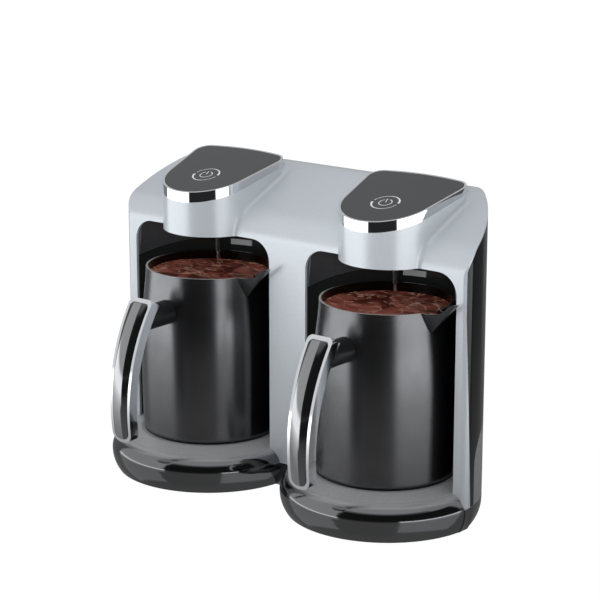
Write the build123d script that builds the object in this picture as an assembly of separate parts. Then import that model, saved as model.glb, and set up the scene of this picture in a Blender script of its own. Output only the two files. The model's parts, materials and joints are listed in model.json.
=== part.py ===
"""Electric coffee maker for Turkish coffee, with two brewing stations side by side."""
from build123d import *
import os
from math import acos, asin, atan2, cos, degrees, radians, sin, sqrt, tan

os.makedirs("parts", exist_ok=True)

# Frame while modelling: X towards the right-hand station, Y to the back, Z up, the floor at z = 0
# and y = 0 at the axes of the two pots. At the end everything moves along Y, so that the origin
# lies under the middle of the bounding box. All sizes are in millimetres.

# Body
station_pitch = 125.0     # between the axes of the two pots
front_y = -7.5            # flat front of the fascia
rear_space = 2.5          # between the niches' liners and the rear wall
shell_wall = 1.8
rear_corner_start = 2.0   # the rear corners begin this far in front of the flat front
front_corner_r = 4.0
shoulder_z = 152.0        # where the front and the sloping top would meet
shoulder_r = 18.0
crest_depth, crest_z = 12.5, 178.5     # in from the flat back, and height
front_view_margin = 1.0   # of the front view's outline over the crest
back_top_z = 175.5
crest_r = 12.0
back_top_r = 8.0
top_side_r = 24.0         # upper side corners, seen from the front

# Parting lines between the casing pieces. The housing wraps round the front corners, up to a
# seam that leans over from behind the corner at the base to in front of it under the shoulder.
mitre_low, mitre_high = 3.4, 1.0   # behind and in front of the corner's own diagonal
mitre_bend_z = 119.0      # from here up the seam is upright
split_inset = 0.6         # between the shoulder and the edge that follows it
split_ledge = 1.0         # of the housing, inside its wall, under the edge of the top
split_z = 168.0           # lower edge of the silver top at the back
skirt_y = 2.0
skirt_top_z = 55.0
skirt_r = 20.0

# Base
base_roll = 7.2           # from the base's rim out to its widest place
bulge_z = 11.0
base_undercut = 3.4       # narrower at the floor than at the widest place
base_wall = 2.0
slab_z = 14.0             # top of the base under the body
base_rim_z = 21.2
rim_margin = 1.0          # of the base's rim outside the niche
roll_out, roll_up = 0.24, 0.62    # where the side rolls over to the rim, as shares
floor_gap = 0.6           # between the shell's lower rim and the floor
plate_z = 24.0            # top of the hot plate, where the pot stands
plate_r = 38.4
plate_thick = 3.5
plate_chamfer = 0.6
heater_r = 27.0           # of the heater's ring
heater_tube_r = 3.2
heater_gap_angle = 24.0   # degrees, open at the front
terminal_r, terminal_length = 1.6, 9.0
thermostat_cap_r, thermostat_body_r = 7.0, 5.0
thermostat_height = 9.0
ledge_width = 2.4
ring_flange = 2.4
ring_skin = 2.0
ring_drop = 0.3           # top of the flange under the top of the plate

# Niche
niche_r = 49.8
niche_axis_y = -5.0
niche_top_z = 141.5
niche_corner_r = 12.0
liner_thick = 1.4
hood_low_lip, hood_top_lip = 0.8, 3.2     # how far it stands in from the niche's wall
hood_front_z = 119.0      # lower edge of the hood at the fascia
hood_slope = 10.0         # degrees, rising to the back
ceiling_thick = 2.0

# Head and panel
panel_tilt = 14.7         # degrees, rising to the back
key_y, key_z = -2.2, 172.6
head_arc_r, head_arc_y = 27.5, 2.0
head_back_x = 32.8        # half the width at the rear corners
head_back_bow = 3.5       # of the curved back over its corners
head_crest_gap = 3.0      # from the back of the head to the crest
head_corner_r = 8.0
head_wall = 2.0
seam_r = 3.0              # hollow rounding between a head and the body
seam_gap = 0.1            # it stays clear of the niche's opening by this
band_front, band_back = 5.8, 3.6
band_thick = 1.2
panel_thick = 2.6
board_drop = 9.0          # underside of the panel to the control board
board_thick = 1.6
board_u, board_v = 17.0, 15.0     # half sizes of the control board
board_v_mid = 9.0                 # its middle, behind the key
post_r, post_inset = 2.2, 3.0     # what holds it, in from its corners
switch_side, switch_height = 6.0, 2.8
plunger_r, plunger_height = 1.6, 1.2
stem_r = 2.0
key_r = 7.0
key_travel = 0.8
light_ring_width = 1.1
running_gap = 0.08        # radial, where one piece slides in another
seat_gap = 0.2            # between pieces that are assembled side by side

# Probe and sensor
probe_y = 8.0
probe_tip_z = 121.5
probe_step_z = 126.5
probe_holder_r, probe_rod_r = 1.7, 1.15
probe_flange_r, probe_flange = 5.0, 3.0
probe_sleeve, probe_pin = 6.0, 10.0       # how far they stand above the head's underside
window_width, window_height, window_proud = 13.0, 3.2, 0.8
window_x, window_z = -11.5, 123.5
window_seat = 0.02
probe_tip_round = 0.7     # as a share of the rod's radius

# Pot
pot_wall = 1.2
pot_floor = 2.0
pot_foot_r, pot_belly_r, pot_rim_r = 39.3, 39.9, 36.6
pot_belly_z, pot_neck_z, pot_neck_r = 62.0, 94.0, 39.0
pot_rim_z = 120.0
pot_foot_fillet = 2.5
spout_reach = 58.0        # pot axis to the outside of the tip
spout_angle = -15.0       # degrees from the X axis: the beak passes in front of the fascia
spout_tip_r = 2.6
spout_root_z = 108.0
spout_root_r = 13.0
spout_length = 30.0       # between the centres of root and tip, at the rim
spout_rise = 7.8          # of the rim, at the tip
spout_dip = 3.8           # rise of the rim at the knee, where it turns up to the tip
spout_knee = 7.5          # from the knee to the tip
spout_start = 24.0        # pot axis to where the rim starts to rise
spout_root_tip_r, spout_root_back_r = 1.6, 3.0
spout_root_length = 3.0
rim_stock = 4.0           # height over the tip before the rim is cut
rim_flare = 0.2           # of the wall over the rim

# Handle
strap_front_y, strap_arc_z, strap_arc_r = -77.7, 51.4, 100.2
strap_thick = 6.2
strap_top_width, strap_low_width = 16.6, 13.4
strap_top_z, strap_low_z = 111.3, 32.4     # of the outer face
strap_border = 2.0
grip_depth = 3.0
grip_proud, grip_gap = 0.5, 0.12
strap_corner_r = 3.0      # upper corners of the strap
strap_low_round = 0.85    # lower corners, as a share of half its width
arm_z = 99.5
arm_r = 6.9
arm_overlap = 8.0         # drawn into the strap and the pot, and cut back to them
arm_gap = 0.05            # between the arm and what it is fixed to
handle_screw_length = 14.0
screw_sunk = 1.8          # of the screw's head, under the bottom of the strap's pocket

# Power supply, feet and fasteners
board_width, board_height = 50.0, 76.0
board_depth, board_low_z = 9.5, 40.0      # its front, in from the flat back
board_post_inset = 5.0
relay_size = (18.0, 12.0, 15.0)
relay_x, relay_z = 11.7, 85.6     # middle of the right-hand one
foot_r = 6.0
foot_y_front, foot_x_back = -38.0, 88.0
foot_spacing = 10.5       # from the rear feet to the screws behind them
foot_height = 2.6
bottom_thick = 2.0
screw_r, screw_head_r, screw_head = 1.4, 2.8, 1.2
screw_gap = 0.05
screw_tip = 1.0           # free depth beyond a screw's end
boss_r = 3.4
boss_inset = 16.0         # rear screws, in from the back
boss_front_y = 0.5        # front screws
boss_margin = 10.5        # front screws, in from the base's widest place
gland_r, gland_flange_r, gland_bore_r = 5.4, 7.8, 3.4
gland_z = 26.0
gland_proud = 2.2
gland_nut = 3.0

# Worked out
station_x = station_pitch / 2
base_rim_r = niche_r + rim_margin
base_radius = base_rim_r + base_roll      # widest, at bulge_z
back_y = niche_axis_y + niche_r + liner_thick + rear_space + shell_wall   # flat back
board_y = back_y - board_depth
rear_corner_r = back_y - front_y + rear_corner_start
crest_y = back_y - crest_depth
head_back_y = crest_y - head_crest_gap
head_corner_y = head_back_y - head_back_bow
foot_y_back = back_y - boss_inset - foot_spacing
half_width = station_x + base_radius
reach = 400.0             # larger than the object, for cutting bodies
round_off = 0.02          # keeps faces and corners that would coincide apart
slope = tan(radians(panel_tilt))
bottom_low_z = foot_height
bottom_high_z = bottom_low_z + bottom_thick
plate_low_z = plate_z - plate_thick
cover_top_z = niche_top_z + ceiling_thick
board_top_w = -panel_thick - board_drop   # along the panel's own normal
switch_top_w = board_top_w + switch_height + plunger_height
strap_arc_y = strap_front_y + strap_arc_r
strap_top_angle = 180 - degrees(asin((strap_top_z - strap_arc_z) / strap_arc_r))
strap_low_angle = 180 + degrees(asin((strap_arc_z - strap_low_z) / strap_arc_r))


def panel_height(y):
    """Height of the panel's face over the floor, at depth y."""
    return key_z + (y - key_y) * slope


# ------------------------------------------------------------------ shared shapes

def across(face):
    """A face drawn as (y, z), drawn out along X through the whole object."""
    return extrude(Plane.YZ * face, reach, both=True)


def along(face, y1, y2):
    """A face drawn as (x, z), drawn out from depth y1 to depth y2."""
    return Pos(0, y2, 0) * extrude(Plane.XZ * face, y2 - y1)


def column(face, z1, z2):
    """A face drawn as (x, y), drawn up from z1 to z2."""
    return Pos(0, 0, z1) * extrude(face, z2 - z1)


def outline(*points):
    return make_face(Polyline(*points, close=True))


def near(face, x, y):
    """The vertex of a face closest to (x, y)."""
    return face.vertices().sort_by(lambda v: (v.X - x) ** 2 + (v.Y - y) ** 2)[0]


def above(y1, z1, y2, z2):
    """Everything above the sloping line from (y1, z1) to (y2, z2)."""
    rise = (z2 - z1) / (y2 - y1)
    low, high = z1 + rise * (-reach - y1), z1 + rise * (reach - y1)
    return across(outline((-reach, low), (reach, high), (reach, 3 * reach), (-reach, 3 * reach)))


def inset_corners(points, inset):
    """The inner points of a line that turns right, moved in by the inset."""
    moved = []
    for before, point, after in zip(points, points[1:], points[2:]):
        arriving = (Vector(*point) - Vector(*before)).normalized()
        leaving = (Vector(*after) - Vector(*point)).normalized()
        right = Vector(arriving.Y + leaving.Y, -arriving.X - leaving.X)
        corner = Vector(*point) + right * (inset / (1 + arriving.dot(leaving)))
        moved.append((corner.X, corner.Y))
    return moved


def behind(y):
    return Pos(0, y + reach, 0) * Box(4 * reach, 2 * reach, 4 * reach)


def in_front(y):
    return Pos(0, y - reach, 0) * Box(4 * reach, 2 * reach, 4 * reach)


def rod(x, y, z1, z2, r):
    return Pos(x, y, (z1 + z2) / 2) * Cylinder(r, z2 - z1)


def cross_rod(x, z, y1, y2, r):
    """A round bar along Y."""
    return Pos(x, (y1 + y2) / 2, z) * Rot(90, 0, 0) * Cylinder(r, y2 - y1)


# ------------------------------------------------------------------ casing

def body_plan(inset=0.0):
    depth = 2 * rear_corner_r
    corner_r = rear_corner_r - inset
    rounded = RectangleRounded(2 * (half_width - inset), 2 * corner_r + round_off, corner_r)
    plan = Pos(0, back_y - depth / 2) * rounded
    plan = plan & Pos(0, front_y + inset + reach) * Rectangle(2 * reach, 2 * reach)
    return fillet(plan.vertices().group_by(Axis.Y)[0], max(front_corner_r - inset, shell_wall / 2))


def body_side(inset=0.0):
    """Side view of the body. Inside, the plan alone gives the flat walls in front and behind."""
    front, rear = front_y, back_y
    if inset:
        front, rear = front_y - round_off, back_y + round_off
    shoulder, crest, back = inset_corners([(front, -reach), (front, shoulder_z),
                                           (crest_y, crest_z), (rear, back_top_z),
                                           (rear, -reach)], inset)
    face = outline((front + inset, -reach), shoulder, crest, back, (rear - inset, -reach))
    for corner, r in ((shoulder, shoulder_r), (crest, crest_r), (back, back_top_r)):
        face = fillet(near(face, *corner), r - inset)
    return face


def body_front(inset=0.0):
    half, high = half_width - inset, crest_z + front_view_margin - inset
    face = outline((-half, -reach), (-half, high), (half, high), (half, -reach))
    return fillet(face.vertices().group_by(Axis.Y)[-1], top_side_r - inset)


def body_form(inset=0.0):
    """The body's outer form, or its inside when inset, from slab_z up."""
    form = column(body_plan(inset), slab_z, crest_z + reach / 4)
    return form & across(body_side(inset)) & along(body_front(inset), -reach, reach)


def head_plan(inset=0.0):
    """Outline of a head from above: round in front, wider and rounded at the back."""
    to_corner = sqrt(head_back_x ** 2 + (head_corner_y - head_arc_y) ** 2)
    turn = atan2(head_corner_y - head_arc_y, head_back_x) - acos(head_arc_r / to_corner)
    tangent = (head_arc_r * cos(turn), head_arc_y + head_arc_r * sin(turn))
    mirrored = (-tangent[0], tangent[1])
    corner, other = (head_back_x, head_corner_y), (-head_back_x, head_corner_y)
    edges = [ThreePointArc(mirrored, (0, head_arc_y - head_arc_r), tangent), Line(tangent, corner),
             ThreePointArc(corner, (0, head_back_y), other), Line(other, mirrored)]
    face = make_face(edges)
    face = fillet([near(face, *corner), near(face, *other)], head_corner_r)
    return offset(face, -inset) if inset else face


def head_column(x, z1, inset=0.0):
    return Pos(x, 0, 0) * column(head_plan(inset), z1, crest_z + reach / 4)


def above_panel(lift=0.0):
    return above(key_y, key_z + lift, head_back_y, panel_height(head_back_y) + lift)


def above_band():
    tip = head_arc_y - head_arc_r
    return above(tip, panel_height(tip) - band_front, head_back_y,
                 panel_height(head_back_y) - band_back)


def corner_wrap(turn):
    """Everything behind the seam on one front corner: the turn is -45 on the right, 45 on the left."""
    corner = (half_width + front_y) / sqrt(2)
    low, high = corner + mitre_low, corner - mitre_high
    face = outline((low, -reach), (low, slab_z), (high, mitre_bend_z), (high, split_z),
                   (reach, split_z), (reach, -reach))
    return Rot(0, 0, turn) * across(face)


def housing_region():
    """The rear housing's share: the back, and the side walls up to the edge of the top."""
    sides = (corner_wrap(-45) + corner_wrap(45)) & across(body_side(split_inset))
    sides -= column(body_plan(shell_wall + split_ledge), -reach, reach)
    back = outline((crest_y, -reach), (crest_y, split_z), (reach, split_z), (reach, -reach))
    return sides + across(back)


def skirt_region():
    face = outline((skirt_y, -reach), (skirt_y, skirt_top_z), (reach, skirt_top_z),
                   (reach, -reach))
    return across(fillet(near(face, skirt_y, skirt_top_z), skirt_r))


def niche_opening(x):
    face = outline((-niche_r, -reach), (-niche_r, niche_top_z), (niche_r, niche_top_z),
                   (niche_r, -reach))
    face = fillet(face.vertices().group_by(Axis.Y)[-1], niche_corner_r)
    return Pos(x, 0, 0) * along(face, front_y - 1, front_y + shell_wall + 1)


def front_fascia():
    body = body_form()
    heads = [head_column(x, niche_top_z) - above_panel() for x in (-station_x, station_x)]
    form = body + heads[0] + heads[1]
    seam = [edge for edge in new_edges(body, *heads, combined=form)
            if edge.bounding_box().min.Z > niche_top_z + seam_gap]
    form = fillet(seam, seam_r) - above_band() - housing_region() - body_form(shell_wall)
    for x in (-station_x, station_x):
        form = form - head_column(x, niche_top_z, head_wall) - niche_opening(x)
    return form


def rear_shell():
    return (body_form() - body_form(shell_wall)) & housing_region()


def board_posts():
    """Where the power board is held, seen from behind."""
    x, low = board_width / 2 - board_post_inset, board_low_z + board_post_inset
    high = board_low_z + board_height - board_post_inset
    return [(-x, low), (x, low), (-x, high), (x, high)]


def rear_housing():
    shell = rear_shell() - skirt_region()
    for x, z in board_posts():
        if z > skirt_top_z:
            shell += cross_rod(x, z, board_y + board_thick, back_y - shell_wall / 2, boss_r)
    return shell


def rear_skirt():
    shell = rear_shell() & skirt_region()
    for x, z in board_posts():
        if z <= skirt_top_z:
            shell += cross_rod(x, z, board_y + board_thick, back_y - shell_wall / 2, boss_r)
    return shell - cross_rod(0, gland_z, 0, reach, gland_r + running_gap)


# ------------------------------------------------------------------ base

def side_edges(radius, inset):
    """Bulging side of the base, from the floor up to its widest place, drawn as (r, z)."""
    foot = (radius - base_undercut - inset, floor_gap)
    bulge = (radius - inset, bulge_z)
    middle = (radius - inset - base_undercut / 4, (bulge_z + floor_gap) / 2)
    return [Line((0, floor_gap), foot), ThreePointArc(foot, middle, bulge)]


def base_disc(inset=0.0):
    """Round front of the base: the bulging side rolls over to the rim."""
    rim = (base_rim_r - inset, base_rim_z - inset)
    edges = side_edges(base_radius, inset)
    bulge = edges[-1] @ 1
    roll = (bulge.X - (bulge.X - rim[0]) * roll_out, bulge.Y + (rim[1] - bulge.Y) * roll_up)
    edges += [ThreePointArc(bulge, roll, rim), Line(rim, (0, rim[1])),
              Line((0, rim[1]), (0, floor_gap))]
    return revolve(Plane.XZ * make_face(edges), Axis.Z)


def slab_edges(radius, inset):
    """Side of the base under the body, closed at the slab's top."""
    top_z = slab_z - inset
    edges = side_edges(radius, inset)
    bulge = edges[-1] @ 1
    edges += [Line(bulge, (bulge.X, top_z)), Line((bulge.X, top_z), (0, top_z)),
              Line((0, top_z), (0, floor_gap))]
    return make_face(edges)


def base_slab(inset=0.0):
    """The base under the body: both rear corners, and the straight stretch between them."""
    corner_x, corner_y = half_width - rear_corner_r, back_y - rear_corner_r
    corner = revolve(Plane.XZ * slab_edges(rear_corner_r, inset), Axis.Z)
    middle = extrude(Plane.YZ * Pos(corner_y, 0) * slab_edges(rear_corner_r, inset), corner_x,
                     both=True)
    slab = middle + Pos(corner_x, corner_y, 0) * corner + Pos(-corner_x, corner_y, 0) * corner
    return slab & behind(front_y + inset)


def base_form(inset=0.0):
    form = base_slab(inset)
    for x in (-station_x, station_x):
        disc = Pos(x, 0, 0) * base_disc(inset)
        form += disc & in_front(front_y - seat_gap)
        form += disc & in_front(0) & Pos(0, 0, slab_z - inset - reach) * Box(
            4 * reach, 4 * reach, 2 * reach)
    return form


def boss_places():
    """Screw bosses under the slab: beside each plate in front and three along the back."""
    back = back_y - boss_inset
    spread = base_radius - boss_margin
    inner, outer = station_x - spread, station_x + spread
    return [(0.0, back), (-foot_x_back, back), (foot_x_back, back),
            (-outer, boss_front_y), (-inner, boss_front_y), (inner, boss_front_y),
            (outer, boss_front_y)]


def base_shell():
    shell = base_form() - base_form(base_wall)
    for x in (-station_x, station_x):
        shell -= rod(x, 0, slab_z - 2 * base_wall, plate_z, plate_r - ledge_width - seat_gap)
        shell -= rod(x, 0, slab_z, plate_z, base_rim_r + seat_gap)
    for x, y in boss_places():
        boss = rod(x, y, bottom_high_z, slab_z - base_wall / 2, boss_r)
        shell += boss - rod(x, y, 0, slab_z - base_wall - screw_tip, screw_r + screw_gap)
    return shell


def bottom_plate():
    margin = base_wall + base_undercut + seat_gap
    plate = column(body_plan(margin), bottom_low_z, bottom_high_z)
    for x in (-station_x, station_x):
        plate += rod(x, 0, bottom_low_z, bottom_high_z, base_radius - margin) & in_front(0)
    for x, y in boss_places():
        plate -= rod(x, y, 0, slab_z, screw_r + screw_gap)
    return plate


def feet():
    places = [(-station_x, foot_y_front), (station_x, foot_y_front),
              (-foot_x_back, foot_y_back), (foot_x_back, foot_y_back)]
    return Compound([rod(x, y, 0, bottom_low_z, foot_r) for x, y in places])


def bottom_screws():
    solids = []
    for x, y in boss_places():
        head = rod(x, y, bottom_low_z - screw_head, bottom_low_z, screw_head_r)
        shank = rod(x, y, bottom_low_z - screw_head, slab_z - base_wall - 2 * screw_tip, screw_r)
        solids.append(head + shank)
    return Compound(solids)


def cord_gland():
    inner_y = back_y - shell_wall
    sleeve = cross_rod(0, gland_z, inner_y - gland_nut, back_y + gland_proud, gland_r)
    flange = cross_rod(0, gland_z, back_y, back_y + gland_proud, gland_flange_r)
    nut = cross_rod(0, gland_z, inner_y - gland_nut, inner_y, gland_flange_r)
    return sleeve + flange + nut - cross_rod(0, gland_z, 0, reach, gland_bore_r)


def base_ring(x):
    """Niche floor: a sloping skin round the hot plate, on an upright flange with a ledge."""
    ledge_r = plate_r - ledge_width
    wall_r = plate_r + seat_gap
    flange_r = wall_r + ring_flange
    top_z = plate_z - ring_drop
    face = outline((ledge_r, slab_z), (ledge_r, plate_low_z), (wall_r, plate_low_z),
                   (wall_r, top_z), (flange_r, top_z), (base_rim_r, base_rim_z),
                   (base_rim_r, base_rim_z - ring_skin), (flange_r, top_z - ring_skin),
                   (flange_r, slab_z))
    ring = revolve(Plane.XZ * face, Axis.Z)
    inside = rod(0, niche_axis_y, 0, reach, niche_r - seat_gap)
    ring = (ring & in_front(front_y - seat_gap)) + (ring & inside)
    return Pos(x, 0, 0) * ring


def hot_plate(x):
    plate = rod(x, 0, plate_low_z, plate_z, plate_r)
    return chamfer(plate.edges().group_by(Axis.Z)[-1], plate_chamfer)


def heating_element(x):
    """Open ring of heater tube pressed to the plate, with its two terminals."""
    path = CenterArc((0, 0), heater_r, -90 + heater_gap_angle / 2, 360 - heater_gap_angle)
    start = Plane(origin=path @ 0, z_dir=path % 0)
    tube = sweep(start * Circle(heater_tube_r), path)
    for end in (path @ 0, path @ 1):
        tube += rod(end.X, end.Y, -terminal_length, 0, terminal_r)
    return Pos(x, 0, plate_low_z - heater_tube_r) * tube


def plate_thermostat(x):
    middle_z = plate_low_z - thermostat_height / 2
    cap = rod(x, 0, middle_z, plate_low_z, thermostat_cap_r)
    return cap + rod(x, 0, plate_low_z - thermostat_height, middle_z, thermostat_body_r)


# ------------------------------------------------------------------ niche

def niche_liner(x):
    wall = rod(0, niche_axis_y, slab_z, niche_top_z, niche_r + liner_thick)
    wall -= rod(0, niche_axis_y, slab_z - 1, niche_top_z + 1, niche_r)
    return Pos(x, 0, 0) * (wall & behind(front_y + shell_wall))


def niche_hood(x):
    height = niche_top_z - hood_front_z
    outer = rod(0, niche_axis_y, hood_front_z, niche_top_z, niche_r - seat_gap / 2)
    cone = Cone(niche_r - hood_low_lip, niche_r - hood_top_lip, height)
    inner = Pos(0, niche_axis_y, hood_front_z + height / 2) * cone
    band = (outer - inner) & behind(front_y + shell_wall)
    rise = tan(radians(hood_slope))
    band = band & above(front_y, hood_front_z, reach, hood_front_z + (reach - front_y) * rise)
    return Pos(x, 0, 0) * band


def head_cover(x):
    """Underside of the head, and ceiling of the niche behind it."""
    nose = column(head_plan(head_wall + seat_gap), niche_top_z, cover_top_z)
    nose = nose & in_front(0)
    ceiling = rod(0, niche_axis_y, niche_top_z, cover_top_z, niche_r + liner_thick)
    ceiling = ceiling & behind(front_y + shell_wall + seat_gap)
    plate = nose + ceiling
    plate -= rod(0, probe_y, 0, reach, probe_holder_r + running_gap)
    return Pos(x, 0, 0) * plate


def probe_holder(x):
    sleeve = rod(0, probe_y, probe_step_z, cover_top_z + probe_sleeve, probe_holder_r)
    flange = rod(0, probe_y, cover_top_z, cover_top_z + probe_flange, probe_flange_r)
    return Pos(x, 0, 0) * (sleeve + flange - rod(0, probe_y, 0, reach, probe_rod_r))


def probe_rod(x):
    pin = rod(0, probe_y, probe_tip_z, cover_top_z + probe_pin, probe_rod_r)
    tip = pin.edges().group_by(Axis.Z)[0]
    return Pos(x, 0, 0) * fillet(tip, probe_rod_r * probe_tip_round)


def sensor_window(x):
    block = Pos(window_x, 0, window_z) * Box(window_width, reach, window_height)
    outer = rod(0, niche_axis_y, 0, reach, niche_r - window_seat)
    inner = rod(0, niche_axis_y, 0, reach, niche_r - window_proud)
    return Pos(x, 0, 0) * (block & (outer - inner) & behind(0))


# ------------------------------------------------------------------ panel and controls

def panel_frame(x):
    """The panel's own plane: X across, Y up the slope, Z out of its face."""
    return Plane(origin=(x, key_y, key_z), x_dir=(1, 0, 0),
                 z_dir=(0, -sin(radians(panel_tilt)), cos(radians(panel_tilt))))


def panel_rod(x, w1, w2, r, u=0.0, v=0.0):
    """A round piece square to the panel, from w1 to w2 out of its face."""
    return panel_frame(x) * Pos(u, v, (w1 + w2) / 2) * Cylinder(r, w2 - w1)


def top_panel(x):
    plate = head_column(x, niche_top_z, band_thick + seat_gap / 2) & above_panel(
        -panel_thick / cos(radians(panel_tilt)))
    plate -= above_panel()
    for u in (post_inset - board_u, board_u - post_inset):
        for v in (board_v_mid - board_v + post_inset, board_v_mid + board_v - post_inset):
            plate += panel_rod(x, board_top_w, -panel_thick / 2, post_r, u, v)
    return plate - panel_rod(x, -panel_thick - 1, 1, key_r + running_gap + light_ring_width)


def panel_band(x):
    band = head_column(x, niche_top_z) - head_column(x, niche_top_z, band_thick)
    return band & above_band() - above_panel()


def light_ring(x):
    ring = panel_rod(x, -panel_thick, 0, key_r + running_gap + light_ring_width)
    return ring - panel_rod(x, -panel_thick - 1, 1, key_r + running_gap)


def power_key(x):
    cap = panel_rod(x, -panel_thick, 0, key_r)
    stem = panel_rod(x, switch_top_w + running_gap, -panel_thick / 2, stem_r)
    return cap + stem


def key_switch(x):
    middle = Pos(0, 0, board_top_w + switch_height / 2)
    case = panel_frame(x) * middle * Box(switch_side, switch_side, switch_height)
    plunger_top_w = switch_top_w - key_travel
    return case + panel_rod(x, board_top_w, plunger_top_w, plunger_r)


def control_board(x):
    place = Pos(0, board_v_mid, board_top_w - board_thick / 2)
    return panel_frame(x) * place * Box(2 * board_u, 2 * board_v, board_thick)


# ------------------------------------------------------------------ pots

def pot_form(inset=0.0, floor_z=plate_z):
    """Spun body of the pot, from the floor to above the rim."""
    top_z = pot_rim_z + spout_rise + rim_stock
    foot = (pot_foot_r - inset, floor_z)
    wall = Spline(foot, (pot_belly_r - inset, pot_belly_z), (pot_neck_r - inset, pot_neck_z),
                  (pot_rim_r - inset, pot_rim_z), (pot_rim_r - inset + rim_flare, top_z))
    edges = [Line((0, floor_z), foot), wall, Line(wall @ 1, (0, top_z)),
             Line((0, top_z), (0, floor_z))]
    body = revolve(Plane.XZ * make_face(edges), Axis.Z)
    return fillet(body.edges().group_by(Axis.Z)[0], pot_foot_fillet)


def drop_face(tip_x, tip_r, root_r, length):
    """Round root and smaller round tip, joined by their common tangents."""
    circles = [Pos(tip_x - length, 0) * Circle(root_r), Pos(tip_x, 0) * Circle(tip_r)]
    return make_hull([edge for circle in circles for edge in circle.edges()])


def spout_form(inset=0.0):
    """Pulled lip, drawn on the +X side, from a point on the wall to a drop shape at the rim."""
    high_z = pot_rim_z + spout_rise + rim_stock
    grow = (high_z - spout_root_z) / (high_z - rim_stock - spout_root_z)
    root_x = pot_neck_r - spout_root_back_r
    tip_x = root_x + (spout_reach - spout_tip_r - root_x) * grow
    low = drop_face(root_x - inset, spout_root_tip_r, spout_root_back_r, spout_root_length)
    high = drop_face(tip_x, spout_tip_r - inset, spout_root_r - inset, spout_length)
    return loft([Pos(0, 0, spout_root_z) * low, Pos(0, 0, high_z) * high])


def rim_cut():
    """What lies above the rim: level, rising a little to the knee, and turned up at the tip."""
    start, tip = (spout_start, pot_rim_z), (spout_reach, pot_rim_z + spout_rise)
    knee = (spout_reach - spout_knee, pot_rim_z + spout_dip)
    edges = [Line((-reach, pot_rim_z), start), Spline(start, knee, tip, tangents=((1, 0), (1, 0))),
             Line(tip, (reach, tip[1])), Line((reach, tip[1]), (reach, reach)),
             Line((reach, reach), (-reach, reach)), Line((-reach, reach), (-reach, pot_rim_z))]
    return along(make_face(edges), -reach, reach)


def pot_vessel(x):
    outer = pot_form() + spout_form()
    inner = pot_form(pot_wall, plate_z + pot_floor) + spout_form(pot_wall)
    return Pos(x, 0, 0) * Rot(0, 0, spout_angle) * (outer - inner - rim_cut())


def strap_band(r_out, r_in, border):
    """Curved strap of the handle between two radii, narrower by the border all round."""
    center = (strap_arc_y, strap_arc_z)
    margin = degrees(border / strap_arc_r)
    sweep_angle = strap_low_angle - strap_top_angle - 2 * margin
    outer = CenterArc(center, r_out, strap_top_angle + margin, sweep_angle)
    inner = CenterArc(center, r_in, strap_top_angle + margin, sweep_angle)
    face = make_face([outer, Line(outer @ 1, inner @ 1), inner, Line(inner @ 0, outer @ 0)])
    low, high = strap_low_width / 2 - border, strap_top_width / 2 - border
    front = outline((-low, strap_low_z + border), (-high, strap_top_z - border),
                    (high, strap_top_z - border), (low, strap_low_z + border))
    front = fillet(front.vertices().group_by(Axis.Y)[0], low * strap_low_round)
    front = fillet(front.vertices().group_by(Axis.Y)[-1], strap_corner_r - border / 2)
    return across(face) & along(front, -reach, reach)


def strap_y(z, depth):
    """Depth of the strap's surface, that far in from its outer face, at height z."""
    return strap_arc_y - sqrt((strap_arc_r - depth) ** 2 - (z - strap_arc_z) ** 2)


def screw_hole(gap):
    """Space of the handle's screw: a sunk head, and the shank that goes into the arm."""
    head_y = strap_y(arm_z, grip_depth) + screw_sunk
    head = cross_rod(0, arm_z, head_y, head_y + screw_head, screw_head_r + gap)
    return head + cross_rod(0, arm_z, head_y, head_y + handle_screw_length, screw_r + gap)


def handle_frame(x):
    strap = strap_band(strap_arc_r, strap_arc_r - strap_thick, 0.0)
    pocket = strap_band(strap_arc_r + strap_thick, strap_arc_r - grip_depth, strap_border)
    head_y = strap_y(arm_z, grip_depth) + screw_sunk
    access = cross_rod(0, arm_z, head_y - strap_thick, head_y, screw_head_r + screw_gap)
    return Pos(x, 0, 0) * (strap - pocket - access - screw_hole(screw_gap))


def handle_grip(x):
    inlay = strap_band(strap_arc_r + grip_proud, strap_arc_r - grip_depth + grip_gap,
                       strap_border + grip_gap)
    return Pos(x, 0, 0) * inlay


def handle_arm(x):
    """Round arm between the pot's wall and the strap."""
    form = cross_rod(0, arm_z, strap_y(arm_z, strap_thick) - arm_overlap,
                     arm_overlap - pot_rim_r, arm_r)
    strap_side = Pos(strap_arc_y, strap_arc_z) * Circle(strap_arc_r - strap_thick - arm_gap)
    form = (form & across(strap_side)) - pot_form(-arm_gap)
    return Pos(x, 0, 0) * (form - screw_hole(screw_gap))


def handle_screw(x):
    return Pos(x, 0, 0) * screw_hole(0.0)


# ------------------------------------------------------------------ power supply

def power_board():
    z = board_low_z + board_height / 2
    return Pos(0, board_y + board_thick / 2, z) * Box(board_width, board_thick, board_height)


def power_relays():
    width, depth, height = relay_size
    solids = []
    for side in (-1, 1):
        place = Pos(side * relay_x, board_y - depth / 2, relay_z)
        solids.append(place * Box(width, depth, height))
    return Compound(solids)


# ------------------------------------------------------------------ assembly

nodes = {
    "front_fascia": front_fascia(), "rear_housing": rear_housing(), "rear_skirt": rear_skirt(),
    "base_shell": base_shell(), "bottom_plate": bottom_plate(), "feet": feet(),
    "bottom_screws": bottom_screws(), "cord_gland": cord_gland(), "power_board": power_board(),
    "power_relays": power_relays(),
}
station_pieces = [niche_liner, niche_hood, head_cover, base_ring, hot_plate, heating_element,
                  plate_thermostat, probe_holder, probe_rod, sensor_window, top_panel, panel_band,
                  light_ring, power_key, key_switch, control_board, pot_vessel, handle_arm,
                  handle_frame, handle_grip, handle_screw]
for side, x in (("left", -station_x), ("right", station_x)):
    for piece in station_pieces:
        nodes[f"{piece.__name__}_{side}"] = piece(x)

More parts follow.
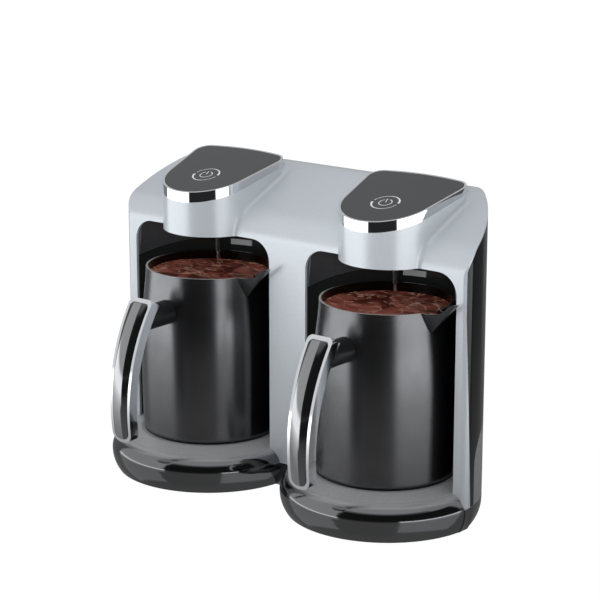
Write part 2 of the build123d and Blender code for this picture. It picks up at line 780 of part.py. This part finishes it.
box = Compound([Compound(node.solids()) for node in nodes.values()]).bounding_box()
to_origin = Pos(0, -(box.min.Y + box.max.Y) / 2, 0)
print("moved along Y by", round(to_origin.position.Y, 4))
for name, shape in nodes.items():
    solids = (to_origin * shape).solids()
    export_step(solids[0] if len(solids) == 1 else Compound(solids), f"parts/{name}.step")
    print(name, len(solids), "solids")
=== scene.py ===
"""Looks of the two-station coffee maker: finishes, coffee in the pots, key symbols, studio.

Lengths are in metres and colours are linear. Azimuth 0 is the front, 90 degrees the right side.
"""
import json
from math import cos, pi, radians, sin, tau

import bmesh
import bpy
from mathutils import Matrix, Vector, noise


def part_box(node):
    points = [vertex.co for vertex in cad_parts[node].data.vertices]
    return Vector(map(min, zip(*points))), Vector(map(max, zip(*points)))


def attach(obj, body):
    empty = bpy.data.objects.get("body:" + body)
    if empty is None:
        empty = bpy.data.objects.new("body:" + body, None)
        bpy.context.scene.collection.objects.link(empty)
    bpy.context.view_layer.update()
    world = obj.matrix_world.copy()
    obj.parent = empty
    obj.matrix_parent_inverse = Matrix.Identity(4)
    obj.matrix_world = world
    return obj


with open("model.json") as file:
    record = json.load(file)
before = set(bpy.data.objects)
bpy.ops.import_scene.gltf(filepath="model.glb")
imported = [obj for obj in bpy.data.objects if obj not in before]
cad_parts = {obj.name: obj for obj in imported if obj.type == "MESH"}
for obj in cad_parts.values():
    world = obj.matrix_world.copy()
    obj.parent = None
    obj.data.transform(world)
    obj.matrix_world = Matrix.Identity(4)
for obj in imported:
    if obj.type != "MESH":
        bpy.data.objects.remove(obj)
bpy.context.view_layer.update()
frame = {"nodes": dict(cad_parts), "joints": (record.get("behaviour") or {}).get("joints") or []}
nodes = frame["nodes"]
joints = {joint["name"]: joint for joint in frame["joints"]}
SIDES = ("left", "right")

# ------------------------------------------------------------------ camera

VIEW_AZIMUTH, VIEW_ELEVATION = radians(38.0), radians(14.58)
VIEW_DISTANCE = 1.1246
VIEW_AIM = Vector((0.0132, 0.0, 0.1134))
SENSOR, LENS = 36.0, 123.1           # millimetres
CLIP_NEAR, CLIP_FAR = 0.05, 30.0


def toward(azimuth, elevation):
    """Direction out of the object."""
    return Vector((sin(azimuth) * cos(elevation), -cos(azimuth) * cos(elevation), sin(elevation)))


def look_from(obj, position, target):
    obj.location = position
    obj.rotation_euler = (target - position).to_track_quat("-Z", "Y").to_euler()


def add_camera():
    data = bpy.data.cameras.new("camera")
    data.sensor_width, data.lens = SENSOR, LENS
    data.clip_start, data.clip_end = CLIP_NEAR, CLIP_FAR
    camera = bpy.data.objects.new("camera", data)
    bpy.context.scene.collection.objects.link(camera)
    look_from(camera, VIEW_AIM + VIEW_DISTANCE * toward(VIEW_AZIMUTH, VIEW_ELEVATION), VIEW_AIM)
    bpy.context.scene.camera = camera


# ------------------------------------------------------------------ meshes

MERGE_SMALL, MERGE_LARGE = 1e-6, 1e-5     # points this close are one


def link_mesh(name, mesh_maker, smooth=True):
    """A new object in the row's frame, whose faces mesh_maker(bm) makes."""
    bm = bmesh.new()
    mesh_maker(bm)
    bmesh.ops.recalc_face_normals(bm, faces=bm.faces)
    mesh = bpy.data.meshes.new(name)
    bm.to_mesh(mesh)
    bm.free()
    for polygon in mesh.polygons:
        polygon.use_smooth = smooth
    obj = bpy.data.objects.new(name, mesh)
    bpy.context.scene.collection.objects.link(obj)
    return obj


def strip(bm, rows):
    """Quads between rows of points, all of the same length."""
    made = [[bm.verts.new(point) for point in row] for row in rows]
    for low, high in zip(made, made[1:]):
        for i in range(len(low) - 1):
            bm.faces.new((low[i], low[i + 1], high[i + 1], high[i]))


def hide_from(obj, *rays):
    for ray in rays:
        setattr(obj, f"visible_{ray}", False)


# ------------------------------------------------------------------ shader nodes

COLOR_A, COLOR_B, COLOR_RESULT = 6, 7, 2     # the Mix node's sockets for colours


class Nodes:
    """Short ways to make and join nodes in one tree."""

    def __init__(self, tree):
        self.tree = tree

    def node(self, kind, **values):
        """A new node. Each value goes to the input of that name, or else to the node's setting."""
        made = self.tree.nodes.new(kind)
        for name, value in values.items():
            if name in made.inputs:
                made.inputs[name].default_value = value
            else:
                setattr(made, name, value)
        return made

    def link(self, source, target):
        self.tree.links.new(source, target)

    def math(self, operation, *values):
        made = self.node("ShaderNodeMath", operation=operation)
        for socket, value in zip(made.inputs, values):
            if isinstance(value, (int, float)):
                socket.default_value = value
            else:
                self.link(value, socket)
        return made.outputs["Value"]

    def axes(self, vector):
        """The outputs X, Y and Z of a vector."""
        made = self.node("ShaderNodeSeparateXYZ")
        self.link(vector, made.inputs["Vector"])
        return made.outputs

    def spread(self, source, low, high, start=0.2, end=0.8, **settings):
        """Goes from low to high as the source goes from start to end, and no further."""
        ends = {"From Min": start, "From Max": end, "To Min": low, "To Max": high}
        made = self.node("ShaderNodeMapRange", **ends, **settings)
        self.link(source, made.inputs["Value"])
        return made.outputs["Result"]


class Paint(Nodes):
    """A node material around one Principled shader."""

    def __init__(self, name, color, roughness, metallic=0.0, specular=0.5):
        self.material = bpy.data.materials.new(name)
        self.material.use_nodes = True
        super().__init__(self.material.node_tree)
        self.shader = self.tree.nodes["Principled BSDF"]
        self.set("Base Color", (*color, 1.0))
        self.set("Roughness", roughness)
        self.set("Metallic", metallic)
        self.set("Specular IOR Level", specular)
        self.color, self.roughness = color, roughness

    def set(self, socket, value):
        self.shader.inputs[socket].default_value = value

    def drive(self, socket, source):
        """Lets a node's output set one of the shader's sockets."""
        self.link(source, self.shader.inputs[socket])

    def glow(self, strength, color=(1.0, 1.0, 1.0)):
        self.set("Emission Color", (*color, 1.0))
        self.set("Emission Strength", strength)

    def place(self, stretch=(1, 1, 1)):
        """Object coordinates, multiplied by the stretch: fixed to the piece."""
        mapping = self.node("ShaderNodeMapping", Scale=stretch)
        self.link(self.node("ShaderNodeTexCoord").outputs["Object"], mapping.inputs["Vector"])
        return mapping.outputs["Vector"]

    def noise(self, scale, detail=3.0, roughness=0.5, distortion=0.0, stretch=(1, 1, 1)):
        texture = self.node("ShaderNodeTexNoise", Scale=scale, Detail=detail,
                            Roughness=roughness, Distortion=distortion)
        self.link(self.place(stretch), texture.inputs["Vector"])
        return texture.outputs["Fac"]

    def mix_color(self, factor, first, second):
        made = self.node("ShaderNodeMix", data_type="RGBA")
        for socket, value in ((made.inputs[COLOR_A], first), (made.inputs[COLOR_B], second)):
            if isinstance(value, tuple):
                socket.default_value = (*value, 1.0)
            else:
                self.link(value, socket)
        self.link(factor, made.inputs["Factor"])
        return made.outputs[COLOR_RESULT]

    def bump(self, source, strength, distance):
        made = self.node("ShaderNodeBump", Strength=strength, Distance=distance)
        self.link(source, made.inputs["Height"])
        self.drive("Normal", made.outputs["Normal"])

    def worn(self, scale, amount, stretch=(1, 1, 1)):
        """Roughness that wanders by the amount, as handling leaves it."""
        low, high = self.roughness - amount, self.roughness + amount
        self.drive("Roughness", self.spread(self.noise(scale, stretch=stretch), low, high))

    def tinted(self, scale, share):
        """Colour that wanders by a share of itself."""
        darker = tuple(c * (1 - share) for c in self.color)
        lighter = tuple(min(1.0, c * (1 + share)) for c in self.color)
        factor = self.spread(self.noise(scale), 0.0, 1.0)
        self.drive("Base Color", self.mix_color(factor, darker, lighter))


# ------------------------------------------------------------------ finishes

# Base: dark metallised plastic, which turns satin grey where it faces up.
SMOKE_DARK, SMOKE_LIGHT = (0.215, 0.217, 0.223), (0.255, 0.257, 0.264)
TRAY_GREY = (0.51, 0.517, 0.53)
SMOKE_METAL, TRAY_METAL = 1.0, 0.1
MIRROR_ROUGH, TRAY_ROUGH = 0.09, 0.34
SLOPE_MIRROR, SLOPE_TRAY = 0.70, 0.93     # the normal's Z where the change begins and ends

# Handle inlays
GRIP_CROWN = 55.0         # per metre: half of how fast the inlay's face turns across its width
GRIP_LEAN = 0.001         # how far left of its middle the inlay's crown is highest

# Pots
RIM_Z = 0.120
COAT_DARK, COAT_LIGHT = (0.160, 0.160, 0.165), (0.185, 0.185, 0.191)
# Painted shade within the pot, and the painted highlight along the front of its rim: its colour,
# its metal, and the heights where it starts and is full.
INSIDE_SHADE_COLOR, RIM_HIGHLIGHT_COLOR = (0.03, 0.03, 0.031), (0.80, 0.79, 0.77)
COAT_METAL, RIM_HIGHLIGHT_METAL = 0.985, 0.25
RIM_HIGHLIGHT_FROM, RIM_HIGHLIGHT_FULL = RIM_Z - 0.0007, RIM_Z - 0.0005
LEVEL_FROM, LEVEL_TO = 0.55, 0.65         # the normal's Z where a face starts to count as level
FRONT_FADE = 0.012        # the painted highlight is full this far in front of the axis, and fades to its least so far behind
RIM_HIGHLIGHT_BEHIND = 0.08        # what is left of the painted highlight behind the axis
INSIDE_FADE = 0.002


def silver_paint():
    """Metallic silver lacquer: fine flakes under a soft clear coat."""
    paint = Paint("silver_lacquer", (0.68, 0.722, 0.765), roughness=0.3, metallic=0.22)
    paint.set("Coat Weight", 0.25)
    paint.set("Coat Roughness", 0.2)
    paint.worn(scale=38.0, amount=0.02)
    paint.tinted(scale=2600.0, share=0.09)
    paint.bump(paint.noise(3200.0, detail=1.0), strength=0.03, distance=0.00002)
    return paint


def gloss_plastic(name, color, roughness):
    paint = Paint(name, color, roughness)
    paint.worn(scale=60.0, amount=0.03)
    paint.tinted(scale=25.0, share=0.12)
    paint.bump(paint.noise(90.0), strength=0.02, distance=0.0001)
    return paint


def grained_plastic(name, color, roughness, grain=1800.0, depth=0.25):
    """Moulded plastic with a fine spark-eroded grain."""
    paint = Paint(name, color, roughness)
    paint.worn(scale=45.0, amount=0.06)
    paint.tinted(scale=900.0, share=0.12)
    paint.bump(paint.noise(grain, detail=2.0), strength=depth, distance=0.00005)
    return paint


def smoked_base():
    """Dark metallised plastic that turns satin grey where it faces up."""
    paint = Paint("smoked_base", SMOKE_DARK, MIRROR_ROUGH, SMOKE_METAL)
    normal = paint.axes(paint.node("ShaderNodeTexCoord").outputs["Normal"])
    flat = paint.spread(normal["Z"], 0.0, 1.0, SLOPE_MIRROR, SLOPE_TRAY)
    mirror = paint.mix_color(paint.spread(paint.noise(12.0), 0.0, 1.0), SMOKE_DARK, SMOKE_LIGHT)
    paint.drive("Base Color", paint.mix_color(flat, mirror, TRAY_GREY))
    paint.drive("Metallic", paint.spread(flat, SMOKE_METAL, TRAY_METAL, 0.0, 1.0))
    paint.drive("Roughness", paint.spread(flat, MIRROR_ROUGH, TRAY_ROUGH, 0.0, 1.0))
    return paint


def grip_gloss(side):
    """Metallised inlay with a crown across its width, so that half of it mirrors the dark."""
    paint = Paint(f"grip_gloss_{side}", (0.36, 0.363, 0.37), MIRROR_ROUGH, metallic=1.0)
    paint.worn(scale=50.0, amount=0.02)
    paint.tinted(scale=12.0, share=0.08)
    low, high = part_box(f"handle_grip_{side}")
    crest = (low.x + high.x) / 2 - GRIP_LEAN
    away = paint.math("SUBTRACT", paint.axes(paint.place())["X"], crest)
    drop = paint.math("MULTIPLY", paint.math("MULTIPLY", away, away), -GRIP_CROWN)
    paint.bump(drop, strength=1.0, distance=1.0)
    return paint


def chrome(name, roughness):
    paint = Paint(name, (0.83, 0.84, 0.86), roughness, metallic=1.0)
    paint.worn(scale=70.0, amount=0.02)
    paint.tinted(scale=30.0, share=0.03)
    return paint


def steel(name, color, roughness):
    """Drawn along Z, which leaves long fine streaks."""
    paint = Paint(name, color, roughness, metallic=1.0)
    paint.worn(scale=900.0, amount=0.08, stretch=(1, 1, 0.04))
    paint.tinted(scale=60.0, share=0.08)
    return paint


def pot_coating(side):
    """Satin black coating on steel, with a painted highlight along the front of the rim and painted
    shade within the pot.
    """
    paint = Paint(f"pot_coating_{side}", (0.17, 0.17, 0.175), roughness=0.25, metallic=1.0)
    paint.worn(scale=26.0, amount=0.04, stretch=(1, 1, 0.2))
    paint.bump(paint.noise(1500.0, detail=2.0), strength=0.05, distance=0.00003)
    low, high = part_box(f"hot_plate_{side}")
    center = (low + high) / 2
    coordinates = paint.node("ShaderNodeTexCoord")
    normal = paint.axes(coordinates.outputs["Normal"])
    place = paint.axes(coordinates.outputs["Object"])

    # Painted highlight: the level top of the rim at the front is painted light steel and made less
    # metallic.
    at_rim = paint.spread(place["Z"], 0.0, 1.0, RIM_HIGHLIGHT_FROM, RIM_HIGHLIGHT_FULL)
    level = paint.spread(normal["Z"], 0.0, 1.0, LEVEL_FROM, LEVEL_TO)
    front = paint.spread(place["Y"], 1.0, RIM_HIGHLIGHT_BEHIND, center.y - FRONT_FADE, center.y + FRONT_FADE)
    rim_highlight = paint.math("MULTIPLY", paint.math("MULTIPLY", at_rim, level), front)
    outward = paint.math("ADD", *(
        paint.math("MULTIPLY", normal[axis], paint.math("SUBTRACT", place[axis], center[axis]))
        for axis in (0, 1)))
    # Painted shade: faces that look in towards the pot's axis are painted near black.
    inside_shade = paint.spread(outward, 1.0, 0.0, -INSIDE_FADE, 0.0)

    shade = paint.mix_color(paint.spread(paint.noise(120.0), 0.0, 1.0), COAT_DARK, COAT_LIGHT)
    shade = paint.mix_color(inside_shade, shade, INSIDE_SHADE_COLOR)
    paint.drive("Base Color", paint.mix_color(rim_highlight, shade, RIM_HIGHLIGHT_COLOR))
    paint.drive("Metallic", paint.spread(rim_highlight, COAT_METAL, RIM_HIGHLIGHT_METAL, 0.0, 1.0))
    return paint


def light_ring_paint():
    paint = Paint("ring_diffuser", (0.05, 0.05, 0.053), roughness=0.2)
    paint.worn(scale=200.0, amount=0.04)
    paint.tinted(scale=80.0, share=0.1)
    return paint


def painted_glow_white():
    """White for the power sign and the painted ring highlights, with a faint painted glow."""
    paint = Paint("painted_glow_white", (0.72, 0.74, 0.76), roughness=0.35)
    paint.tinted(scale=900.0, share=0.05)
    # Painted glow: these marks are no lamp.
    paint.glow(0.25, (0.9, 0.95, 1.0))
    return paint


def sensor_window():
    """Clouded window, lightened by a faint painted glow."""
    paint = gloss_plastic("sensor_window", (0.42, 0.43, 0.44), 0.25)
    # Painted glow: the window is no lamp.
    paint.glow(0.07, (0.9, 0.95, 1.0))
    return paint


def circuit_board():
    paint = Paint("circuit_board", (0.02, 0.11, 0.045), roughness=0.35)
    paint.tinted(scale=140.0, share=0.35)
    paint.worn(scale=300.0, amount=0.08)
    return paint


def paint_nodes():
    """Gives every CAD node its finish."""
    silver, smoke = silver_paint(), smoked_base()
    tray = grained_plastic("tray_satin", TRAY_GREY, TRAY_ROUGH, grain=2200.0, depth=0.05)
    panel = gloss_plastic("panel_gloss", (0.036, 0.036, 0.038), 0.16)
    bright = chrome("chrome_trim", 0.05)
    satin_steel = steel("zinc_steel", (0.5, 0.49, 0.48), 0.28)
    liner = gloss_plastic("niche_gloss", (0.024, 0.025, 0.025), 0.2)
    hood = grained_plastic("hood_satin", (0.07, 0.073, 0.078), 0.36)
    black = gloss_plastic("housing_gloss", (0.008, 0.008, 0.009), 0.16)
    rubber = grained_plastic("rubber", (0.02, 0.02, 0.02), 0.75, grain=900.0)
    dark = grained_plastic("dark_moulding", (0.018, 0.018, 0.019), 0.45)
    board = circuit_board()
    finishes = {
        "front_fascia": silver,
        "rear_housing": black,
        "rear_skirt": grained_plastic("skirt_grain", (0.33, 0.332, 0.338), 0.5),
        "base_shell": smoke,
        "bottom_plate": grained_plastic("plate_grain", (0.02, 0.02, 0.02), 0.6),
        "feet": rubber,
        "bottom_screws": satin_steel,
        "cord_gland": rubber,
        "power_board": board,
        "power_relays": dark,
    }
    by_station = {
        "niche_liner": liner,
        "niche_hood": hood,
        "head_cover": hood,
        "base_ring": tray,
        "hot_plate": grained_plastic("plate_coating", (0.02, 0.02, 0.02), 0.35, grain=2500.0),
        "heating_element": steel("heater_steel", (0.32, 0.27, 0.22), 0.4),
        "plate_thermostat": grained_plastic("phenolic", (0.3, 0.22, 0.12), 0.5),
        "probe_holder": dark,
        "probe_rod": steel("probe_steel", (0.6, 0.6, 0.6), 0.2),
        "sensor_window": sensor_window(),
        "top_panel": panel,
        "panel_band": bright,
        "light_ring": light_ring_paint(),
        "power_key": panel,
        "key_switch": dark,
        "control_board": board,
        "handle_arm": gloss_plastic("arm_satin", (0.012, 0.012, 0.013), 0.25),
        "handle_frame": chrome("handle_chrome", 0.07),
        "handle_screw": satin_steel,
    }
    for node, paint in by_station.items():
        for side in SIDES:
            finishes[f"{node}_{side}"] = paint
    for side in SIDES:
        finishes[f"pot_vessel_{side}"] = pot_coating(side)
        finishes[f"handle_grip_{side}"] = grip_gloss(side)
    for node, paint in finishes.items():
        slots = nodes[node].data.materials
        slots.clear()
        slots.append(paint.material)


# ------------------------------------------------------------------ coffee

COFFEE_DEPTH = 0.0055      # surface of the coffee under the pot's rim
COFFEE_RADIUS = 0.0362
FOAM_RINGS, FOAM_SPOKES = 26, 120
SWELL_HEIGHT, SWELL_SCALE, SWELL_SEED = 0.0007, 75.0, 0.3
CLIMB_HEIGHT, CLIMB_POWER = 0.0006, 14     # drawn up at the wall
FOAM_DARK, FOAM_LIGHT = (0.085, 0.018, 0.012), (0.345, 0.098, 0.070)
FOAM_STREAK = (0.62, 0.33, 0.24)
STREAK_WIDTH = 0.055       # of the swirl's range, on each side of its middle


def coffee_paint():
    """Brown foam with dark holes and paler swirls, which glows a little as painted light."""
    paint = Paint("coffee_foam", (0.30, 0.10, 0.08), roughness=0.30, specular=0.7)
    cloud = paint.noise(46.0, detail=4.0, roughness=0.62, distortion=1.4)
    body = paint.mix_color(paint.spread(cloud, 0.0, 1.0, 0.42, 0.60), FOAM_DARK, FOAM_LIGHT)
    swirl = paint.noise(44.0, detail=1.5, distortion=1.8, stretch=(1.0, 1.6, 1.0))
    from_middle = paint.math("ABSOLUTE", paint.spread(swirl, -1.0, 1.0, 0.0, 1.0))
    streak = paint.spread(from_middle, 1.0, 0.0, 0.0, STREAK_WIDTH)
    color = paint.mix_color(streak, body, FOAM_STREAK)
    for socket in ("Base Color", "Emission Color"):
        paint.drive(socket, color)
    # Painted light: the foam glows so that it stays bright in the head's shade.
    paint.set("Emission Strength", 0.19)
    paint.bump(cloud, strength=0.7, distance=0.0012)
    return paint


def coffee_surface(side, paint):
    """Foam that fills the pot: level, with low swells, and drawn up a little at the wall."""
    low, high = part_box(f"hot_plate_{side}")
    center = (low + high) / 2
    level = RIM_Z - COFFEE_DEPTH

    def make(bm):
        rows = []
        for ring in range(FOAM_RINGS + 1):
            share = ring / FOAM_RINGS
            row = []
            for spoke in range(FOAM_SPOKES + 1):
                angle = tau * (spoke % FOAM_SPOKES) / FOAM_SPOKES
                x = COFFEE_RADIUS * share * cos(angle)
                y = COFFEE_RADIUS * share * sin(angle)
                swell = SWELL_HEIGHT * noise.noise(Vector((x, y, SWELL_SEED)) * SWELL_SCALE)
                climb = CLIMB_HEIGHT * share ** CLIMB_POWER
                row.append((center.x + x, center.y + y, level + swell + climb))
            rows.append(row)
        strip(bm, rows)
        bmesh.ops.remove_doubles(bm, verts=bm.verts, dist=MERGE_SMALL)

    coffee = link_mesh(f"coffee_{side}", make)
    coffee.data.materials.append(paint.material)
    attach(coffee, f"pot_{side}")


# ------------------------------------------------------------------ key symbols and painted ring highlights

SYMBOL_LIFT = 0.00006      # over the key's face
ARC_STEPS = 40
# The painted highlights on the ring: two white arcs.
RING_RADIUS, RING_START, RING_SWEEP = 0.00765, 8.0, 167.0     # angles in degrees
RING_THIN, RING_SWELL, RING_TAPER = 0.0004, 0.0010, 3         # thick at its start, thin at its end
SIGN_RADIUS, SIGN_LINE = 0.0036, 0.0005
SIGN_START, SIGN_END = 113.0, 427.0
SIGN_BAR_LOW, SIGN_BAR_HIGH = 0.0002, 0.0044
SIGN_TURN = 18.0          # degrees that the power sign is turned from straight up the slope


def key_plane(side):
    """Matrix of the key's face: X across, Y up the slope, Z out of it."""
    axis = -Vector(joints[f"power_key_{side}_press"]["axis"]).normalized()
    across = Vector((1, 0, 0))
    up = axis.cross(across)
    low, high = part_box(f"light_ring_{side}")
    middle = (low + high) / 2
    face = max(nodes[f"power_key_{side}"].data.vertices, key=lambda v: v.co @ axis).co
    middle += axis * ((face - middle) @ axis)
    return Matrix(((across.x, up.x, axis.x, middle.x), (across.y, up.y, axis.y, middle.y),
                   (across.z, up.z, axis.z, middle.z), (0, 0, 0, 1)))


def arc_rows(radius, start, end, width_at):
    """Pairs of points across a flat arc, from start to end in degrees."""
    rows = []
    for i in range(ARC_STEPS + 1):
        share = i / ARC_STEPS
        angle = radians(start + (end - start) * share)
        half = width_at(share) / 2
        rows.append([((radius - half) * cos(angle), (radius - half) * sin(angle), 0.0),
                     ((radius + half) * cos(angle), (radius + half) * sin(angle), 0.0)])
    return rows


def key_sign_and_ring_highlights(side, paint):
    """The power sign on the key, and two tapering arcs on the ring round it, which are painted
    highlights.
    """
    plane = key_plane(side) @ Matrix.Translation((0, 0, SYMBOL_LIFT))

    def painted_ring_highlights(bm):
        # Painted highlights: bright arcs where the ring would catch the light.
        for start in (RING_START, RING_START + 180.0):
            strip(bm, arc_rows(RING_RADIUS, start, start + RING_SWEEP,
                               lambda t: RING_THIN + RING_SWELL * (1.0 - t) ** RING_TAPER))

    def power_sign(bm):
        strip(bm, arc_rows(SIGN_RADIUS, SIGN_START, SIGN_END, lambda t: SIGN_LINE))
        strip(bm, [[(-SIGN_LINE / 2, y, 0.0), (SIGN_LINE / 2, y, 0.0)]
                   for y in (SIGN_BAR_LOW, SIGN_BAR_HIGH)])
        bmesh.ops.rotate(bm, verts=bm.verts, cent=(0, 0, 0),
                         matrix=Matrix.Rotation(radians(SIGN_TURN), 3, "Z"))

    for name, maker, body in (("ring_highlights", painted_ring_highlights, "housing"),
                              ("power_sign", power_sign, f"power_key_{side}")):
        piece = link_mesh(f"{name}_{side}", maker, smooth=False)
        piece.data.transform(plane)
        piece.data.materials.append(paint.material)
        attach(piece, body)


# ------------------------------------------------------------------ studio

FLOOR_RADIUS, SWEEP_RADIUS, WALL_HEIGHT = 4.0, 1.5, 5.0
FLOOR_SPOKES, SWEEP_STEPS = 72, 12

# The card under the object, which only mirrors and matt faces see: its grey fades out from
# near to far, counted in metres from the origin after the stretch.
CARD_RADIUS, CARD_LIFT, CARD_SPOKES = 1.2, 0.0002, 64
CARD_NEAR, CARD_FAR = 0.13, 0.52
CARD_STRETCH = (0.75, 1, 0)
CLEAR_NEAR, CLEAR_FAR = 0.11, 1.0

FILL_AIM = Vector((0.0, 0.0, 0.17))       # the heads
FILL_AZIMUTH, FILL_ELEVATION, FILL_DISTANCE = radians(34.0), radians(14.0), 0.6
FILL_SIZE, FILL_POWER, FILL_SPREAD = 0.3, 0.145, radians(46.0)

SKY_COLOR = (0.97, 0.985, 1.0)
SKY_GROUND = 0.20          # light from where no panel is
SKY_PANELS = (             # light, azimuths, elevations and soft edge, with angles in degrees
    (0.66, (0, 360), (48, 132), 3),       # ceiling
    (0.55, (95, 255), (12, 60), 6),       # behind, high
    (0.72, (-88, -16), (0, 50), 2),       # left, high
    (2.1, (-88, -14), (-45, 2), 2),       # left, low: softbox
    (2.1, (51, 124), (-45, 2), 2),        # right, low: softbox
    (0.02, (-14, 51), (-60, 2), 2),       # black card between the softboxes
    (0.02, (-23, 10), (-60, -15), 2),     # and its lower left corner, which only the pots mirror
    (0.07, (124, 185), (-60, 6), 2),      # dark card behind, low
    (0.02, (-16, 124), (2, 40), 2),       # black card over the middle and the right
)


def add_floor():
    """Plain pale floor that sweeps up all round. Only the camera sees it, so it lights nothing."""
    def make(bm):
        profile = [(0.0, 0.0), (FLOOR_RADIUS, 0.0)]
        for step in range(1, SWEEP_STEPS + 1):
            angle = step * pi / (2 * SWEEP_STEPS)
            profile.append((FLOOR_RADIUS + SWEEP_RADIUS * sin(angle),
                            SWEEP_RADIUS - SWEEP_RADIUS * cos(angle)))
        profile.append((FLOOR_RADIUS + SWEEP_RADIUS, WALL_HEIGHT))
        turns = [spoke * tau / FLOOR_SPOKES for spoke in range(FLOOR_SPOKES + 1)]
        strip(bm, [[Vector((r * cos(turn), r * sin(turn), z)) for turn in turns]
                   for r, z in profile])
        bmesh.ops.remove_doubles(bm, verts=bm.verts, dist=MERGE_LARGE)

    paint = Paint("studio_floor", (0.15, 0.15, 0.15), roughness=0.8, specular=0.0)
    paint.tinted(scale=3.0, share=0.01)
    paint.glow(0.97)
    floor = link_mesh("studio_floor", make)
    floor.data.materials.append(paint.material)
    hide_from(floor, "diffuse", "glossy", "transmission", "shadow")


def add_table_card():
    """Grey card that shades what mirrors see low down: most at the base, and not at its rim."""
    def make(bm):
        turns = [spoke * tau / CARD_SPOKES for spoke in range(CARD_SPOKES)]
        bm.faces.new([bm.verts.new((CARD_RADIUS * cos(turn), CARD_RADIUS * sin(turn), CARD_LIFT))
                      for turn in turns])

    paint = Paint("table_card", (0.0, 0.0, 0.0), roughness=1.0, specular=0.0)
    paint.glow(0.18)
    away = paint.node("ShaderNodeVectorMath", operation="LENGTH")
    paint.link(paint.place(CARD_STRETCH), away.inputs[0])
    clear = paint.spread(away.outputs["Value"], CLEAR_NEAR, CLEAR_FAR, CARD_NEAR, CARD_FAR)
    mixed = paint.node("ShaderNodeMixShader")
    for socket, source in zip(mixed.inputs, (
            clear, paint.shader.outputs["BSDF"],
            paint.node("ShaderNodeBsdfTransparent").outputs["BSDF"])):
        paint.link(source, socket)
    paint.link(mixed.outputs["Shader"], paint.tree.nodes["Material Output"].inputs["Surface"])
    card = link_mesh("table_card", make)
    card.data.materials.append(paint.material)
    hide_from(card, "camera", "transmission", "shadow")


class Sky(Nodes):
    """The studio round the object, drawn on the world by azimuth and elevation."""

    def __init__(self, ground):
        world = bpy.data.worlds.new("studio")
        world.use_nodes = True
        super().__init__(world.node_tree)
        bpy.context.scene.world = world
        x, y, z = self.axes(self.node("ShaderNodeTexCoord").outputs["Generated"])
        self.azimuth = self.math("ARCTAN2", x, self.math("MULTIPLY", y, -1.0))
        self.elevation = self.math("ARCSINE", z)
        self.light = ground

    def within(self, value, span, soft):
        """1 where the angle is inside the span, and 0 beyond its soft edge, all in degrees."""
        low, high = map(radians, span)
        half, soft = (high - low) / 2, radians(soft)
        turned = self.math("WRAP", self.math("SUBTRACT", value, (low + high) / 2), pi, -pi)
        return self.spread(self.math("ABSOLUTE", turned), 1.0, 0.0, half - soft, half + soft,
                           interpolation_type="SMOOTHSTEP")

    def panel(self, light, azimuths, elevations, soft):
        """A card or softbox of even light, over what is there already."""
        mask = self.within(self.elevation, elevations, soft)
        low, high = azimuths
        if high - low < 360:
            mask = self.math("MULTIPLY", mask, self.within(self.azimuth, azimuths, soft))
        change = self.math("SUBTRACT", light, self.light)
        self.light = self.math("MULTIPLY_ADD", change, mask, self.light)

    def finish(self, color):
        background = self.tree.nodes["Background"]
        background.inputs["Color"].default_value = (*color, 1.0)
        self.link(self.light, background.inputs["Strength"])


def add_sky():
    sky = Sky(SKY_GROUND)
    for light, azimuths, elevations, soft in SKY_PANELS:
        sky.panel(light, azimuths, elevations, soft)
    sky.finish(SKY_COLOR)


def add_fill():
    """Soft lamp for the matt faces of the heads. Mirrors don't see it."""
    data = bpy.data.lights.new("front_fill", "AREA")
    data.shape, data.size, data.energy, data.spread = "DISK", FILL_SIZE, FILL_POWER, FILL_SPREAD
    lamp = bpy.data.objects.new("front_fill", data)
    bpy.context.scene.collection.objects.link(lamp)
    look_from(lamp, FILL_AIM + FILL_DISTANCE * toward(FILL_AZIMUTH, FILL_ELEVATION), FILL_AIM)
    hide_from(lamp, "glossy", "camera")


def add_studio():
    add_floor()
    add_table_card()
    add_sky()
    add_fill()
    bpy.context.scene.view_settings.view_transform = "Standard"


add_camera()
paint_nodes()
foam, lit = coffee_paint(), painted_glow_white()
for side in SIDES:
    coffee_surface(side, foam)
    key_sign_and_ring_highlights(side, lit)
add_studio()
